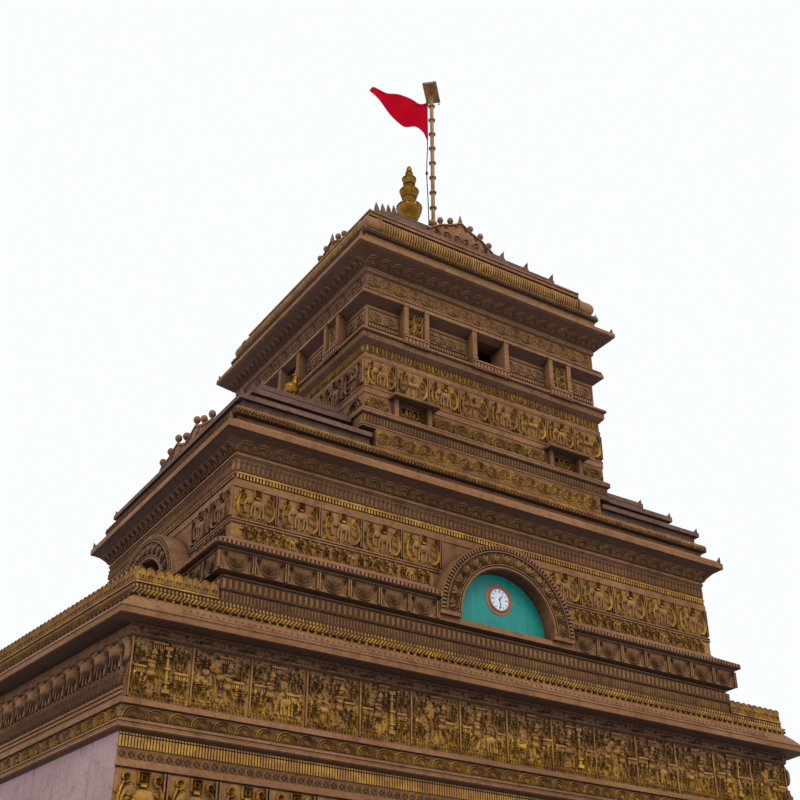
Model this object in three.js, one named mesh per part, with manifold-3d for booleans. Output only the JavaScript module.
// A stepped Hindu temple of three carved storeys under a gold finial and a flag.
// Units are millimetres. +Z is up, the front faces -Y, and the origin is on the ground at the centre.
import * as THREE from 'three';
import { mergeVertices } from 'three/addons/utils/BufferGeometryUtils.js';
import Module from 'manifold-3d';

const wasm = await Module();
wasm.setup();

// Driving dimensions

const gap = 0.3;
const halfGap = 0.2;

// Ground storey: its side walls open outward towards the back
const groundHalfWidth = 9550;
const groundHalfDepth = 4170;
const groundSplay = THREE.MathUtils.degToRad(6.7);
const groundWallThickness = 600;
const groundWallTop = 10820;
const groundFloorTop = 450;
const doorHalfWidth = 1500;
const doorTop = 4900;
const doorFrame = { width: 400, reach: 380, inset: 110 };
const thresholdLap = 50;
const stepRise = 150;
const stepTread = 300;
const groundEaveTop = 11700;
const terraceTop = 11250;
const parapetTop = 12080;

// Middle storey
const middleHalfWidth = 7430;
const middleHalfDepth = 4000;
const middleWallThickness = 450;
const middleWallTop = 15540;
const middleEaveTop = 16700;
const middleSlabTop = 15950;
const archCentre = 12620;
const archSill = 12500;
const archInner = 1420;
const archOuter = 2050;
const hoodBack = 30;
const hoodReach = 500;
const clockHeight = 13380;

// Top storey
const topHalf = 3950;
const topWallThickness = 400;
const topWallTop = 22280;
const topEaveTop = 23520;
const scrollBlock = { halfWidth: 3700, reach: 170, top: 17200 };
const windowSill = 20360;
const windowHead = 21150;
const windowHalfWidth = 480;
const windowPost = { width: 150, reach: 270, baseBottom: 20080, top: 21350 };
const tallJali = {
  centre: 2500, halfWidth: 265, post: 140, bottom: 20380, top: 21180, reach: 150, holes: [2, 3],
};
const lowJali = {
  centre: 2560, halfWidth: 460, post: 120, bottom: 17790, top: 18250, reach: 0, holes: [5, 2],
};
const lowHood = {
  reach: 400, overhang: 130, bottom: 18270, top: 18350, postReach: 185, postBottom: 17760,
};
const screenThickness = 60;
const screenBar = 45;

// Roof of the middle storey: three stepped slabs on each side. The lowest runs in under the wider
// bands of the top storey, whose foot is set back.
const roofSteps = [
  { halfWidth: 7500, halfDepth: 4100, edgeBottom: 16950, top: 17080 },
  { halfWidth: 6970, halfDepth: 3620, edgeBottom: 17500, top: 17650 },
  { halfWidth: 6450, halfDepth: 3000, edgeBottom: 18080, top: 18220 },
];
const stepNeckInset = 110;
const topFootInset = 150;
const stepClearance = 200;
const stepLap = 50;

// Crown, finial and flagpole
const crownSteps = [
  { half: 3320, top: 25100 },
  { half: 2770, top: 25680 },
  { half: 2240, top: 26250 },
  { half: 1710, top: 26820 },
];
const crownRim = 24510;
const crownDeckBottom = 23950;
const crownTop = crownSteps[crownSteps.length - 1].top;
const pedestalTop = 27600;
const poleX = 985;
const poleBottom = crownTop + gap;
const poleTop = 34720;
const poleRadius = 70;
const collarRadius = 130;
const board = { halfWidth: 255, halfLength: 520, thickness: 70, turn: THREE.MathUtils.degToRad(47.5) };
const bell = { radius: 32, height: 80, drop: 50, inset: 45, rod: 10 };

// Colours
const stone = { color: 0x7a5c4a, roughness: 0.85, metalness: 0.0 };
const darkStone = { color: 0x5c4438, roughness: 0.9, metalness: 0.0 };
const plaster = { color: 0x97808a, roughness: 0.9, metalness: 0.0 };
const gold = { color: 0xb98a2e, roughness: 0.4, metalness: 0.6 };
const teal = { color: 0x148272, roughness: 0.5, metalness: 0.0 };
const white = { color: 0xd8d8d4, roughness: 0.5, metalness: 0.0 };
const crimson = { color: 0xb9001e, roughness: 0.9, metalness: 0.0 };
const rope = { color: 0x6b6558, roughness: 0.95, metalness: 0.0 };

const temple = new THREE.Group();

function add(name, geometry, look) {
  const mesh = new THREE.Mesh(geometry, new THREE.MeshStandardMaterial(look));
  mesh.name = name;
  temple.add(mesh);
  return mesh;
}

// Solids: from a geometry to a manifold and back

function solidOf(geometry) {
  let plain = geometry.index ? geometry.toNonIndexed() : geometry.clone();
  plain.deleteAttribute('normal');
  plain.deleteAttribute('uv');
  plain = mergeVertices(plain, 1e-3);
  const mesh = new wasm.Mesh({
    numProp: 3,
    vertProperties: new Float32Array(plain.attributes.position.array),
    triVerts: new Uint32Array(plain.index.array),
  });
  return new wasm.Manifold(mesh);
}

function geometryOf(solid) {
  const mesh = solid.getMesh();
  const geometry = new THREE.BufferGeometry();
  geometry.setAttribute('position', new THREE.BufferAttribute(new Float32Array(mesh.vertProperties), 3));
  geometry.setIndex(new THREE.BufferAttribute(new Uint32Array(mesh.triVerts), 1));
  return geometry;
}

function unite(geometries) {
  return geometries.map(solidOf).reduce((sum, solid) => sum.add(solid));
}

function cutFrom(geometry, cutters) {
  return geometryOf(cutters.map(solidOf).reduce((rest, cutter) => rest.subtract(cutter), solidOf(geometry)));
}

// Plan shapes: the four corners of a storey, pushed outward by an offset

function planOf(halfWidth, halfDepth, splay = 0) {
  const reach = halfWidth * Math.cos(splay) + halfDepth * Math.sin(splay);
  return (offset) => {
    const y = halfDepth + offset;
    const sideX = (at) => (reach + offset + at * Math.sin(splay)) / Math.cos(splay);
    return [[-sideX(-y), -y], [sideX(-y), -y], [sideX(y), y], [-sideX(y), y]];
  };
}

const groundPlan = planOf(groundHalfWidth, groundHalfDepth, groundSplay);
const middlePlan = planOf(middleHalfWidth, middleHalfDepth);
const topPlan = planOf(topHalf, topHalf);

function facesOut(positions, indices) {
  let volume = 0;
  const point = (i) => new THREE.Vector3(positions[3 * i], positions[3 * i + 1], positions[3 * i + 2]);
  for (let i = 0; i < indices.length; i += 3) {
    volume += point(indices[i]).dot(point(indices[i + 1]).cross(point(indices[i + 2])));
  }
  return volume > 0;
}

function bodyFrom(positions, indices) {
  const order = facesOut(positions, indices) ? indices : indices.slice().reverse();
  const geometry = new THREE.BufferGeometry();
  geometry.setAttribute('position', new THREE.BufferAttribute(new Float32Array(positions), 3));
  geometry.setIndex(order);
  return geometry;
}

// A profile of [offset, height] points swept past a row of stations.
// Each station turns an offset into a plan point. A closed sweep joins the last station to the first.
function sweep(profile, stations, closed) {
  const positions = [];
  for (const station of stations) {
    for (const [offset, z] of profile) {
      const [x, y] = station(offset);
      positions.push(x, y, z);
    }
  }
  const n = profile.length;
  const indices = [];
  const runs = closed ? stations.length : stations.length - 1;
  for (let s = 0; s < runs; s += 1) {
    const a = s * n;
    const b = ((s + 1) % stations.length) * n;
    for (let i = 0; i < n; i += 1) {
      const j = (i + 1) % n;
      indices.push(a + i, b + i, b + j, a + i, b + j, a + j);
    }
  }
  if (!closed) {
    const outline = profile.map(([o, z]) => new THREE.Vector2(o, z));
    const last = (stations.length - 1) * n;
    const turn = Math.sign(THREE.ShapeUtils.area(outline));
    for (const [a, b, c] of THREE.ShapeUtils.triangulateShape(outline, [])) {
      const same = Math.sign(THREE.ShapeUtils.area([outline[a], outline[b], outline[c]])) === turn;
      const [p, q] = same ? [b, c] : [c, b];
      indices.push(a, p, q, last + a, last + q, last + p);
    }
  }
  return bodyFrom(positions, indices);
}

function ring(profile, plan) {
  return sweep(profile, [0, 1, 2, 3].map((corner) => (offset) => plan(offset)[corner]), true);
}

// One side of a storey between its two mitred corners: 0 front, 1 right, 2 back, 3 left
function side(profile, plan, index) {
  const corners = plan(0);
  const from = new THREE.Vector2(...corners[index]);
  const along = new THREE.Vector2(...corners[(index + 1) % 4]).sub(from).normalize();
  const start = (offset) => {
    const [x, y] = plan(offset)[index];
    return [x + along.x * halfGap, y + along.y * halfGap];
  };
  const end = (offset) => {
    const [x, y] = plan(offset)[(index + 1) % 4];
    return [x - along.x * halfGap, y - along.y * halfGap];
  };
  return sweep(profile, [start, end], false);
}

function slab(plan, offset, bottom, top) {
  return prism(plan(offset), bottom, top);
}

function prism(points, bottom, top) {
  const shape = new THREE.Shape(points.map(([x, y]) => new THREE.Vector2(x, y)));
  const geometry = new THREE.ExtrudeGeometry(shape, { depth: top - bottom, bevelEnabled: false });
  geometry.translate(0, 0, bottom);
  return geometry;
}

function block(x0, x1, y0, y1, z0, z1) {
  const geometry = new THREE.BoxGeometry(x1 - x0, y1 - y0, z1 - z0);
  geometry.translate((x0 + x1) / 2, (y0 + y1) / 2, (z0 + z1) / 2);
  return geometry;
}

// Turns a piece made for the front of a storey to one of its sides
function turned(geometry, index) {
  return geometry.clone().rotateZ(index * Math.PI / 2);
}

// A wall's closed profile: its inner face, and the outer points between two heights
function wallProfile(outer, thickness, bottom, top) {
  const at = (z) => {
    for (let i = 1; i < outer.length; i += 1) {
      const [o0, z0] = outer[i - 1];
      const [o1, z1] = outer[i];
      if (z >= z0 && z <= z1 && z1 > z0) return o0 + (o1 - o0) * (z - z0) / (z1 - z0);
    }
    return outer[outer.length - 1][0];
  };
  const between = outer.filter(([, z]) => z > bottom && z < top);
  return [[-thickness, bottom], [at(bottom), bottom], ...between, [at(top), top], [-thickness, top]];
}

// A flat band between two heights, standing out by a reach
const band = (reach, bottom, top) => [[reach, bottom], [reach, top]];

// Ground storey

const groundCarved = [
  ...band(300, 0, 520),
  ...band(220, 620, 900),
  ...band(140, 1000, 1180),
  ...band(20, 1300, 3650),
  ...band(110, 3720, 3900),
  ...band(20, 3970, 6420),
  ...band(90, 6480, 6780),
  ...band(10, 6830, 7870),
  ...band(60, 7900, 8030),
  ...band(20, 8060, 8220),
  ...band(30, 8260, 8570),
  ...band(120, 8630, 8810),
  ...band(40, 8850, 9110),
  ...band(100, 9130, 9210),
  ...band(0, 9290, 10540),
  ...band(60, 10600, 10800),
  [60, groundWallTop],
];
const groundPlain = [
  ...band(300, 0, 520),
  ...band(220, 620, 900),
  ...band(140, 1000, 1180),
  ...band(20, 1300, 8570),
  ...band(120, 8630, 8810),
  ...band(40, 8850, 9110),
  ...band(100, 9130, 9210),
  ...band(60, 9290, 9500),
  ...band(90, 9530, 9700),
  ...band(50, 9730, 9860),
  ...band(0, 9900, 10600),
  [0, groundWallTop],
];

// The floor runs into the doorway, where two steps lead down from it between the jambs
const doorInner = doorHalfWidth - doorFrame.width;
const frameBack = -groundHalfDepth + doorFrame.inset;
const groundFloor = prism(groundPlan(-groundWallThickness - gap), 0, groundFloorTop);
const threshold = block(-doorHalfWidth + gap, doorHalfWidth - gap, frameBack + gap,
  -groundHalfDepth + groundWallThickness + thresholdLap, 0, groundFloorTop);
const doorSteps = [1, 2].map((count) => block(-doorInner + gap, doorInner - gap,
  frameBack - count * stepTread, frameBack + 1, 0, groundFloorTop - count * stepRise));
add('ground_floor', geometryOf(unite([groundFloor, threshold, ...doorSteps])), darkStone);

// The stone frame of the doorway: two jambs and a lintel that stand out past the plinth
const frameShape = new THREE.Shape([
  [-doorHalfWidth + gap, 0], [-doorInner, 0], [-doorInner, doorTop - doorFrame.width],
  [doorInner, doorTop - doorFrame.width], [doorInner, 0], [doorHalfWidth - gap, 0],
  [doorHalfWidth - gap, doorTop - gap], [-doorHalfWidth + gap, doorTop - gap],
].map(([x, z]) => new THREE.Vector2(x, z)));
const frame = new THREE.ExtrudeGeometry(frameShape, {
  depth: frameBack + groundHalfDepth + doorFrame.reach,
  bevelEnabled: false,
});
frame.rotateX(Math.PI / 2);
frame.translate(0, frameBack, 0);
add('door_frame', frame, stone);

const frontCorner = (index, shift) => (offset) => {
  const [x, y] = groundPlan(offset)[index];
  return [x + shift, y];
};
const straightEnd = (x) => (offset) => [x, -groundHalfDepth - offset];
const groundFull = wallProfile(groundCarved, groundWallThickness, 0, groundWallTop);
const groundOverDoor = wallProfile(groundCarved, groundWallThickness, doorTop, groundWallTop);
add('front_wall_left', sweep(groundFull,
  [frontCorner(0, halfGap), straightEnd(-doorHalfWidth)], false), stone);
add('front_wall_right', sweep(groundFull,
  [straightEnd(doorHalfWidth), frontCorner(1, -halfGap)], false), stone);
add('front_wall_over_door', sweep(groundOverDoor,
  [straightEnd(-doorHalfWidth + gap), straightEnd(doorHalfWidth - gap)], false), stone);
const groundSide = wallProfile(groundPlain, groundWallThickness, 0, groundWallTop);
add('right_wall', side(groundSide, groundPlan, 1), plaster);
add('back_wall', side(groundFull, groundPlan, 2), stone);
add('left_wall', side(groundSide, groundPlan, 3), plaster);

const bearing = 200;
const groundEaveProfile = [
  [-bearing + gap, groundWallTop + gap],
  [470, groundWallTop + gap],
  ...band(500, groundWallTop + 20, 10865),
  ...band(482, 10867, 10983),
  ...band(500, 10985, 11010),
  [440, 11030],
  [250, 11250],
  [90, 11400],
  ...band(130, 11430, 11540),
  ...band(70, 11570, groundEaveTop),
  [-bearing + gap, groundEaveTop],
];
add('ground_eave', ring(groundEaveProfile, groundPlan), stone);
add('terrace_slab', slab(groundPlan, -bearing, groundWallTop + gap, terraceTop), darkStone);

// Leaf parapets round the two side terraces
const parapetBody = [[-180, groundEaveTop + gap], [60, groundEaveTop + gap], [90, parapetTop - 60],
  [40, parapetTop], [-180, parapetTop]];
const middleBaseReach = 270;
const parapetStop = middleHalfWidth + middleBaseReach + gap;
function parapet(sign) {
  const ends = (back) => (offset) => [sign * parapetStop, (back ? 1 : -1) * (groundHalfDepth + offset)];
  const corner = (index) => (offset) => groundPlan(offset)[index];
  const stations = sign < 0
    ? [ends(true), corner(3), corner(0), ends(false)]
    : [ends(false), corner(1), corner(2), ends(true)];
  return sweep(parapetBody, stations, false);
}
add('left_parapet', parapet(-1), gold);
add('right_parapet', parapet(1), gold);

// Middle storey

const middleOuter = [
  [-40, terraceTop],
  [-40, groundEaveTop + gap],
  ...band(220, groundEaveTop + gap, 11940),
  ...band(260, 11960, 12220),
  ...band(190, 12250, 12340),
  ...band(390, 12365, 12810),
  ...band(410, 12830, 12880),
  ...band(540, 12900, 13030),
  [60, 13300],
  ...band(10, 13370, 13700),
  ...band(20, 13720, 13850),
  ...band(0, 13870, 14620),
  ...band(20, 14640, 14820),
  ...band(-10, 14850, 15000),
  ...band(0, 15030, 15380),
  ...band(20, 15400, middleWallTop),
];
const middleFull = wallProfile(middleOuter, middleWallThickness, terraceTop + gap, middleWallTop);

const archSteps = 20;

// The outline of an arch over straight jambs, from its right foot round to its left foot
function archPoints(radius, sill) {
  const points = [new THREE.Vector2(radius, sill)];
  for (let i = 0; i <= archSteps; i += 1) {
    const angle = Math.PI * i / archSteps;
    points.push(new THREE.Vector2(radius * Math.cos(angle), archCentre + radius * Math.sin(angle)));
  }
  points.push(new THREE.Vector2(-radius, sill));
  return points;
}

function archShape(radius, sill) {
  return new THREE.Shape(archPoints(radius, sill));
}

// An arch shape drawn on the front and pushed from one depth to another, as distances in front of a wall plane
function archBody(shape, wallAt, from, to) {
  const geometry = new THREE.ExtrudeGeometry(shape, { depth: to - from, bevelEnabled: false });
  geometry.rotateX(Math.PI / 2);
  geometry.translate(0, -wallAt - from, 0);
  return geometry;
}

function hoodShape() {
  return new THREE.Shape([...archPoints(archOuter, archSill), ...archPoints(archInner, archSill).reverse()]);
}

// Fan tracery: a rim, a hub and spokes, as a pierced screen under an arch of the narrow sides
const tracery = {
  rim: 130, sill: 100, hub: 330, hubSill: 60, spokes: 9, spokeWidth: 70, spokeEnd: 80, from: -40, to: 60,
};
function fanTracery(wallAt) {
  const { from, to } = tracery;
  const radius = archInner - gap;
  const rim = archShape(radius, archSill + gap);
  rim.holes.push(new THREE.Path(archPoints(radius - tracery.rim, archSill + tracery.sill)));
  const hub = archShape(tracery.hub, archSill + tracery.hubSill);
  const bars = [archBody(rim, wallAt, from, to), archBody(hub, wallAt, from, to)];
  const spokeLength = radius - tracery.spokeEnd;
  for (let i = 0; i < tracery.spokes; i += 1) {
    const spoke = new THREE.BoxGeometry(spokeLength, to - from, tracery.spokeWidth);
    spoke.translate(spokeLength / 2, 0, 0);
    spoke.rotateY(-Math.PI * (i + 0.5) / tracery.spokes);
    spoke.translate(0, -wallAt - (from + to) / 2, archCentre);
    bars.push(spoke);
  }
  return geometryOf(unite(bars));
}

const archPanel = { from: -20, to: 100 };
const inFront = 1000;
const sideNames = ['front', 'right', 'back', 'left'];
sideNames.forEach((name, index) => {
  const wallAt = index % 2 === 0 ? middleHalfDepth : middleHalfWidth;
  const through = archBody(archShape(archInner, archSill), wallAt, -middleWallThickness - 100, inFront);
  const seat = archBody(archShape(archOuter + gap, archSill - gap), wallAt, hoodBack, inFront);
  const cutters = [through, seat].map((cutter) => turned(cutter, index));
  add(`middle_wall_${name}`, cutFrom(side(middleFull, middlePlan, index), cutters), stone);
  const hood = turned(archBody(hoodShape(), wallAt, hoodBack + gap, hoodReach), index);
  add(`arch_hood_${name}`, hood, stone);
  if (index % 2 === 0) {
    const panel = archBody(archShape(archInner - gap, archSill + gap), wallAt, archPanel.from, archPanel.to);
    add(`arch_panel_${name}`, turned(panel, index), teal);
  } else {
    add(`arch_tracery_${name}`, turned(fanTracery(wallAt), index), stone);
  }
});

const dial = { radius: 420, thickness: 60, sides: 40 };
const clock = new THREE.CylinderGeometry(dial.radius, dial.radius, dial.thickness, dial.sides);
clock.translate(0, -middleHalfDepth - archPanel.to - gap - dial.thickness / 2, clockHeight);
add('clock', clock, white);

const middleEaveProfile = [
  [-bearing + gap, middleWallTop + gap],
  [60, middleWallTop + gap],
  [130, 15640],
  [260, 15770],
  [410, 15860],
  ...band(480, 15890, 16040),
  [410, 16130],
  ...band(70, 16270, 16440),
  ...band(190, 16465, 16610),
  [140, 16680],
  [-30, middleEaveTop],
  [-bearing + gap, middleEaveTop],
];
add('middle_eave', ring(middleEaveProfile, middlePlan), stone);
add('middle_roof_slab', slab(middlePlan, -bearing, middleWallTop + gap, middleSlabTop), darkStone);

// Top storey

const topOuter = [
  [-topFootInset, middleSlabTop],
  [-topFootInset, scrollBlock.top],
  ...band(130, 17220, 17330),
  ...band(115, 17360, 17600),
  ...band(180, 17640, 17780),
  ...band(55, 17880, 18260),
  ...band(75, 18290, 18500),
  ...band(60, 18540, 19310),
  ...band(75, 19340, 19490),
  ...band(50, 19520, 19740),
  ...band(190, 19900, 20080),
  ...band(240, 20100, 20190),
  [0, 20370],
  [0, 21090],
  ...band(260, 21300, 21390),
  [190, 21540],
  ...band(40, 21680, 22100),
  ...band(80, 22140, topWallTop),
];
const topFull = wallProfile(topOuter, topWallThickness, middleSlabTop + gap, topWallTop);

// A jali is a thin pierced screen. Its block stands out to the screen's face, is hollowed from
// the room and is pierced by rows of holes.
const acrossWall = -topHalf + topWallThickness + 100;
const intoWall = -topHalf + 60;
const jaliLap = 10;
function jaliBlock({ centre, halfWidth, bottom, top, reach }, side) {
  const x = side * centre;
  const half = halfWidth + jaliLap;
  return block(x - half, x + half, -topHalf - reach, intoWall, bottom - jaliLap, top + jaliLap);
}
function jaliCutters({ centre, halfWidth, bottom, top, reach, holes: [columns, rows] }, side) {
  const from = side * centre - halfWidth;
  const face = -topHalf - reach;
  const recess = block(from, from + 2 * halfWidth, face - 200, face, bottom, top);
  const hollow = block(from, from + 2 * halfWidth, face + screenThickness, acrossWall, bottom, top);
  const pitchX = (2 * halfWidth - screenBar) / columns;
  const pitchZ = (top - bottom - screenBar) / rows;
  const holes = [];
  for (let i = 0; i < columns; i += 1) {
    for (let j = 0; j < rows; j += 1) {
      const x = from + screenBar + i * pitchX;
      const z = bottom + screenBar + j * pitchZ;
      holes.push(block(x, x + pitchX - screenBar, face - jaliLap, face + screenThickness + jaliLap,
        z, z + pitchZ - screenBar));
    }
  }
  return [recess, hollow, ...holes];
}

// Two square posts beside an opening, from a bottom to a top, standing out from the wall
function postsBeside(centre, halfWidth, width, bottom, top, reach) {
  return [-1, 1].map((s) => {
    const x = centre + s * (halfWidth + width / 2);
    return block(x - width / 2, x + width / 2, -topHalf - reach, intoWall, bottom, top);
  });
}

// The block under a window or a tall jali that carries its posts
function postBase(centre, halfWidth, top) {
  const { reach, baseBottom } = windowPost;
  return block(centre - halfWidth, centre + halfWidth, -topHalf - reach, intoWall, baseBottom, top);
}

// The window in the middle of a side, and a tall jali between two posts on each side of it
function windowLevel() {
  const { width, reach, baseBottom, top } = windowPost;
  const frames = [
    ...postsBeside(0, windowHalfWidth, width, baseBottom, top, reach),
    postBase(0, windowHalfWidth + width, windowSill),
  ];
  const openings = [
    block(-windowHalfWidth, windowHalfWidth, -topHalf - reach, acrossWall, windowSill, windowHead),
  ];
  for (const s of [-1, 1]) {
    const at = s * tallJali.centre;
    frames.push(
      jaliBlock(tallJali, s),
      postBase(at, tallJali.halfWidth + tallJali.post, tallJali.bottom),
      ...postsBeside(at, tallJali.halfWidth, tallJali.post, baseBottom, top, reach),
    );
    openings.push(...jaliCutters(tallJali, s));
  }
  return { frames, openings };
}

// The block of scrollwork at the foot of the storey and two low jalis under small hoods.
// Only the front and the back have them, because the roof steps stand against the other two sides.
function footLevel() {
  const { halfWidth, reach, top } = scrollBlock;
  const behind = -topHalf + topWallThickness / 2;
  const frames = [block(-halfWidth, halfWidth, -topHalf - reach, behind, middleEaveTop + gap, top + jaliLap)];
  const openings = [];
  for (const s of [-1, 1]) {
    const at = s * lowJali.centre;
    const half = lowJali.halfWidth + lowJali.post + lowHood.overhang;
    frames.push(
      block(at - half, at + half, -topHalf - lowHood.reach, -topHalf, lowHood.bottom, lowHood.top),
      ...postsBeside(at, lowJali.halfWidth, lowJali.post, lowHood.postBottom, lowHood.top, lowHood.postReach),
    );
    openings.push(...jaliCutters(lowJali, s));
  }
  return { frames, openings };
}

sideNames.forEach((name, index) => {
  const levels = index % 2 === 0 ? [windowLevel(), footLevel()] : [windowLevel()];
  const frames = levels.flatMap((level) => level.frames).map((frame) => turned(frame, index));
  const cutters = levels.flatMap((level) => level.openings).map((opening) => solidOf(turned(opening, index)));
  const framed = unite([side(topFull, topPlan, index), ...frames]);
  add(`top_wall_${name}`, geometryOf(cutters.reduce((rest, cutter) => rest.subtract(cutter), framed)), stone);
});

const topEaveProfile = [
  [-bearing + gap, topWallTop + gap],
  [90, topWallTop + gap],
  [175, 22355],
  [530, 22650],
  ...band(585, 22710, 22830),
  [480, 22914],
  ...band(170, 23200, 23330),
  ...band(250, 23370, 23490),
  [130, topEaveTop],
  [-bearing + gap, topEaveTop],
];
add('top_eave', ring(topEaveProfile, topPlan), stone);

// Stepped slabs on both sides of the top storey
function roofStepsOn(sign) {
  const [, , [bedX, bedY]] = middlePlan(-bearing - gap);
  const [lowest] = roofSteps;
  const parts = [block(topHalf - topFootInset + gap, bedX, -bedY, bedY, middleSlabTop + gap, lowest.edgeBottom)];
  let neckBottom = middleEaveTop + gap;
  for (const step of roofSteps) {
    const inner = topHalf + gap + (step === lowest ? -topFootInset : stepClearance);
    const neckX = step.halfWidth - stepNeckInset;
    const neckY = step.halfDepth - stepNeckInset;
    parts.push(block(inner, neckX, -neckY, neckY, neckBottom, step.edgeBottom + stepLap));
    parts.push(block(inner, step.halfWidth, -step.halfDepth, step.halfDepth, step.edgeBottom, step.top));
    neckBottom = step.top - stepLap;
  }
  const geometry = geometryOf(unite(parts));
  return sign > 0 ? geometry : geometry.rotateZ(Math.PI);
}
add('left_roof_steps', roofStepsOn(-1), darkStone);
add('right_roof_steps', roofStepsOn(1), darkStone);

// Crown: a ribbed roll, a rim round a top slab, and four steps on it
const roll = { centre: 23830, radius: 300, inset: 150, steps: 8 };
function rollArc() {
  const points = [];
  for (let i = 0; i <= roll.steps; i += 1) {
    const angle = -Math.PI / 2 + Math.PI * i / roll.steps;
    points.push([-roll.inset + roll.radius * Math.cos(angle), roll.centre + roll.radius * Math.sin(angle)]);
  }
  return points;
}
const deckHalf = 3000;
const crownProfile = [
  [-topWallThickness, topWallTop + gap],
  [-bearing, topWallTop + gap],
  [-bearing, topEaveTop + gap],
  ...rollArc(),
  ...band(-240, 24170, 24290),
  ...band(-120, 24320, 24410),
  [-150, 24430],
  ...band(-110, 24450, crownRim),
  [-topHalf + deckHalf - stepLap, crownRim],
  [-topHalf + deckHalf - stepLap, crownDeckBottom],
  [-topWallThickness, crownDeckBottom],
];
const deck = block(-deckHalf, deckHalf, -deckHalf, deckHalf, crownDeckBottom, crownRim);
add('crown_roof', geometryOf(unite([ring(crownProfile, topPlan), deck])), stone);
const crownStack = crownSteps.map((step, index) => {
  const bottom = index === 0 ? crownRim + gap : crownSteps[index - 1].top - stepLap;
  return block(-step.half, step.half, -step.half, step.half, bottom, step.top);
});
add('crown_steps', geometryOf(unite(crownStack)), darkStone);

// Lathe from [radius, height] pairs that start and end on the axis
function lathe(points, segments, x = 0, y = 0) {
  const geometry = new THREE.LatheGeometry(points.map(([r, z]) => new THREE.Vector2(r, z)), segments);
  geometry.rotateX(Math.PI / 2);
  geometry.translate(x, y, 0);
  return geometry;
}
const pedestalBottom = crownTop + gap;
add('finial_pedestal', lathe([[0, pedestalBottom], [740, pedestalBottom], [740, 26950], [560, 27080],
  [520, 27240], [700, 27400], [640, 27500], [430, pedestalTop], [0, pedestalTop]], 24), stone);

// The finial: three vases of falling size with high shoulders, a collar and a bud
const finialTop = 30780;
function vase(foot, footAt, belly, bellyAt, rim, rimAt) {
  const at = (t) => footAt + (bellyAt - footAt) * t;
  const swell = (t) => foot + (belly - foot) * t;
  const shoulder = (t) => bellyAt + (rimAt - bellyAt) * t;
  return [[foot, footAt], [swell(0.42), at(0.3)], [swell(0.78), at(0.6)], [swell(0.96), at(0.85)],
    [belly, bellyAt], [belly * 0.93, shoulder(0.45)], [belly * 0.7, shoulder(0.8)],
    [rim, rimAt - 20], [rim, rimAt]];
}
const potBottom = pedestalTop + gap;
add('finial', lathe([[0, potBottom], [360, potBottom], [360, 27760], [230, 27900], [230, 28200],
  ...vase(255, 28320, 425, 28890, 235, 29120), [205, 29140], [205, 29290],
  ...vase(240, 29320, 316, 29610, 190, 29770), [160, 29790], [160, 29880],
  ...vase(190, 29910, 232, 30155, 140, 30270), [110, 30290], [110, 30350], [140, 30370], [140, 30420],
  [75, 30450], [103, 30560], [85, 30660], [30, 30750], [0, finialTop]], 24), gold);

// Flagpole with turned collars, and the two arms that hold its rope
const towardsFlag = new THREE.Vector2(-0.825, 0.565).normalize();
const ropeReach = 160;
const ropeRadius = 18;
const ropeTop = 34280;
const ropeBottom = 28000;
const armHalf = 20;
const armLength = ropeReach + 40;
const collars = { first: 27977, pitch: 677, count: 10, half: 20, taper: 60 };
const poleFoot = { radius: 150, height: 120, taper: 200 };
const poleAngle = Math.atan2(towardsFlag.y, towardsFlag.x);
function flagDirection(reach, z) {
  return new THREE.Vector3(poleX + towardsFlag.x * reach, towardsFlag.y * reach, z);
}
function ropeArm(bottom) {
  const arm = new THREE.BoxGeometry(armLength, 2 * armHalf, 2 * armHalf);
  arm.translate(armLength / 2, 0, armHalf);
  arm.rotateZ(poleAngle);
  arm.translate(poleX, 0, bottom);
  return arm;
}
const poleOutline = [[0, poleBottom], [poleFoot.radius, poleBottom],
  [poleFoot.radius, poleBottom + poleFoot.height], [poleRadius, poleBottom + poleFoot.taper]];
for (let i = 0; i < collars.count; i += 1) {
  const z = collars.first + i * collars.pitch;
  poleOutline.push([poleRadius, z - collars.taper], [collarRadius, z - collars.half],
    [collarRadius, z + collars.half], [poleRadius, z + collars.taper]);
}
poleOutline.push([poleRadius, poleTop], [0, poleTop]);
const pole = lathe(poleOutline, 12, poleX);
const arms = [ropeArm(ropeTop + gap), ropeArm(ropeBottom - gap - 2 * armHalf)];
add('flagpole', geometryOf(unite([pole, ...arms])), gold);

// The board at the pole's head, with a bell under each corner
const boardBottom = poleTop + gap;
const boardParts = [block(-board.halfLength, board.halfLength, -board.halfWidth, board.halfWidth,
  boardBottom, boardBottom + board.thickness)];
const bellTop = boardBottom - bell.drop;
const bellOutline = [[0, bellTop - bell.height], [bell.radius, bellTop - bell.height],
  [bell.radius * 0.6, bellTop - bell.height / 4], [bell.rod, bellTop],
  [bell.rod, boardBottom + bell.rod], [0, boardBottom + bell.rod]];
const bellX = board.halfLength - bell.inset;
const bellY = board.halfWidth - bell.inset;
for (const [x, y] of [[-1, -1], [1, -1], [1, 1], [-1, 1]]) {
  boardParts.push(lathe(bellOutline, 10, x * bellX, y * bellY));
}
add('pole_board', geometryOf(unite(boardParts)).rotateZ(board.turn).translate(poleX, 0, 0), gold);

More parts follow.
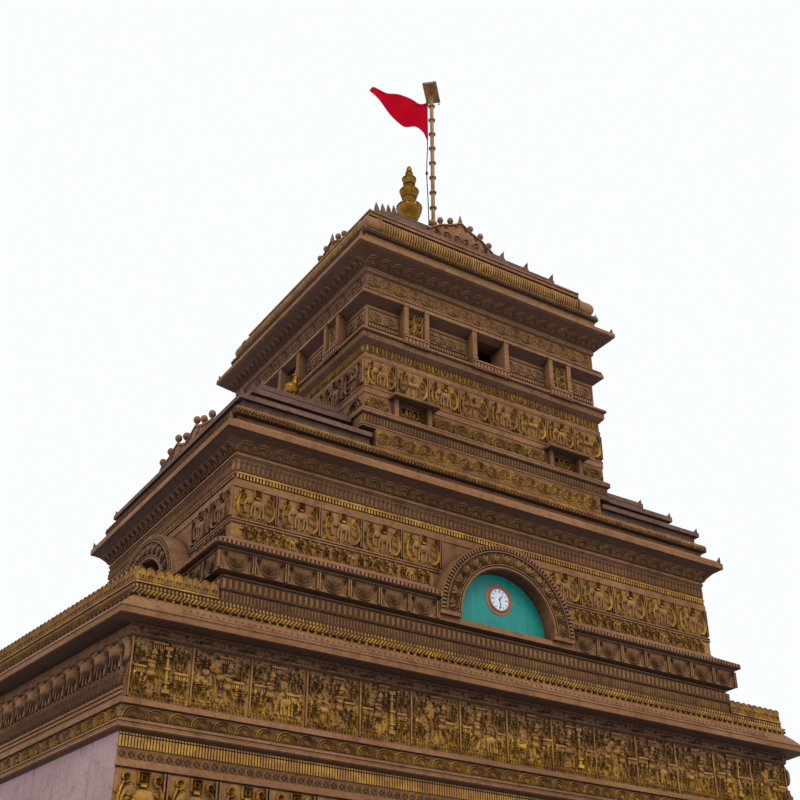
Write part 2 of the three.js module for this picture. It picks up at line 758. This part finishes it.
// The rope: straight beside the flag, then slack down to its lower arm, as [reach from the pole, height]
const ropeRoute = [[160, ropeTop], [160, 33700], [160, 33100], [160, 32400], [175, 31900], [195, 31400],
  [205, 30900], [195, 30400], [178, 29900], [165, 29400], [158, 28900], [158, 28400], [160, ropeBottom]];
const ropeCurve = new THREE.CatmullRomCurve3(ropeRoute.map(([reach, z]) => flagDirection(reach, z)));
const ropeSection = new THREE.Shape();
const ropeSides = 8;
for (let i = 0; i < ropeSides; i += 1) {
  const angle = 2 * Math.PI * i / ropeSides;
  const corner = [ropeRadius * Math.cos(angle), ropeRadius * Math.sin(angle)];
  if (i === 0) ropeSection.moveTo(...corner);
  else ropeSection.lineTo(...corner);
}
const ropeSweep = { steps: 60, extrudePath: ropeCurve, bevelEnabled: false };
add('halyard', new THREE.ExtrudeGeometry(ropeSection, ropeSweep), rope);

// The flag: a pennant with a clipped, lifted tip, as [distance from the rope, height]
const flagThickness = 14;
const flagOutline = [[0, 32450], [0, 34250], [260, 34220], [620, 34480], [1250, 34730], [1930, 35180],
  [2090, 34850], [1620, 34260], [900, 33180], [440, 33100], [150, 32830]];
const flagStart = ropeReach + ropeRadius + gap;
const flagShape = new THREE.Shape(flagOutline.map(([d, z]) => new THREE.Vector2(flagStart + d, z)));
const flag = new THREE.ExtrudeGeometry(flagShape, { depth: flagThickness, bevelEnabled: false });
flag.translate(0, 0, -flagThickness / 2);
flag.rotateX(Math.PI / 2);
flag.rotateZ(poleAngle);
flag.translate(poleX, 0, 0);
add('flag', flag, crimson);

// Crests: upright carved slabs in the middle of the roof edges, as [half width, height] steps
function crest(steps, thickness, bottom, faceAt, index) {
  const right = [];
  let foot = 0;
  for (const [half, height] of steps) {
    right.push([half, foot], [half, height]);
    foot = height;
  }
  const left = right.map(([x, z]) => [-x, z]).reverse();
  const shape = new THREE.Shape([...right, ...left].map(([x, z]) => new THREE.Vector2(x, z)));
  const geometry = new THREE.ExtrudeGeometry(shape, { depth: thickness, bevelEnabled: false });
  geometry.rotateX(Math.PI / 2);
  geometry.translate(0, -faceAt + thickness, bottom + gap);
  return turned(geometry, index);
}
const topCrest = [[1200, 840], [950, 1080], [550, 1230], [110, 1500]];
const topCrestAt = { face: 3000, thickness: 160 };
sideNames.forEach((name, index) => {
  const { face, thickness } = topCrestAt;
  add(`top_crest_${name}`, crest(topCrest, thickness, crownSteps[0].top, face, index), stone);
});
const middleCrest = [[1900, 880], [1500, 980], [820, 1180]];
const middleCrestAt = { face: 7190, thickness: 120 };
for (const index of [1, 3]) {
  const { face, thickness } = middleCrestAt;
  add(`middle_crest_${sideNames[index]}`, crest(middleCrest, thickness, roofSteps[0].top, face, index), stone);
}

// A gold bird sits on the top slab of the left roof steps
const bird = { x: -5450, y: -2750, sides: 16 };
const birdFoot = roofSteps[2].top + gap;
const birdOutline = [[0, 0], [170, 0], [180, 60], [110, 100], [220, 240], [240, 360], [170, 500], [90, 620],
  [60, 740], [50, 860], [0, 940]];
add('gold_bird', lathe(birdOutline.map(([r, z]) => [r, birdFoot + z]), bird.sides, bird.x, bird.y), gold);

export default temple;
